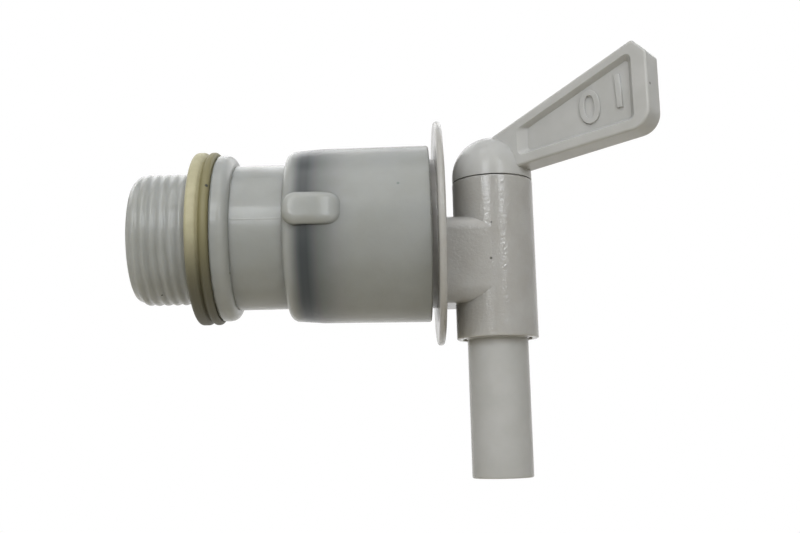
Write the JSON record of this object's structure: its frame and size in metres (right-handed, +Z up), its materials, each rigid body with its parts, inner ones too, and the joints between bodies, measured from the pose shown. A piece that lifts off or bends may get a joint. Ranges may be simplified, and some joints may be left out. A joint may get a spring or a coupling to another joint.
{
  "type": "bib tap",
  "caption": "Plastic canister tap: threaded tail with rubber sealing ring, push-in socket, round flange, and a turning plug whose paddle lever and straight spout are one moulding.",
  "frame": {"origin": "thread axis at the inner end of the inlet thread, just before the sealing ring", "axes": "+X along the flow out of the tank, +Z up, +Y to the right of someone facing the spout"},
  "size_m": [0.1018, 0.045, 0.0806],
  "materials": {
    "connector_polyethylene": "milky natural polyethylene, smooth",
    "cream_rubber": "soft satin",
    "black_rubber": "matte",
    "tap_polyethylene": "natural polyethylene, smooth",
    "white_plastic": "white polypropylene, smooth"
  },
  "bodies": {
    "connector": {"connector_body": "connector_polyethylene", "sealing_ring": "cream_rubber", "socket_gasket": "black_rubber"},
    "tap": {"tap_body": "tap_polyethylene"},
    "plug": {"plug_lever": "white_plastic"}
  },
  "joints": [
    {"name": "tap_swivel", "type": "hinge", "parent": "connector", "child": "tap", "pos_m": [0.035, 0, 0], "axis": [1, 0, 0], "continuous": true},
    {"name": "lever_turn", "type": "hinge", "parent": "tap", "child": "plug", "pos_m": [0.0594, 0, 0], "axis": [0, 0, 1], "range_deg": [-55, 125]}
  ]
}
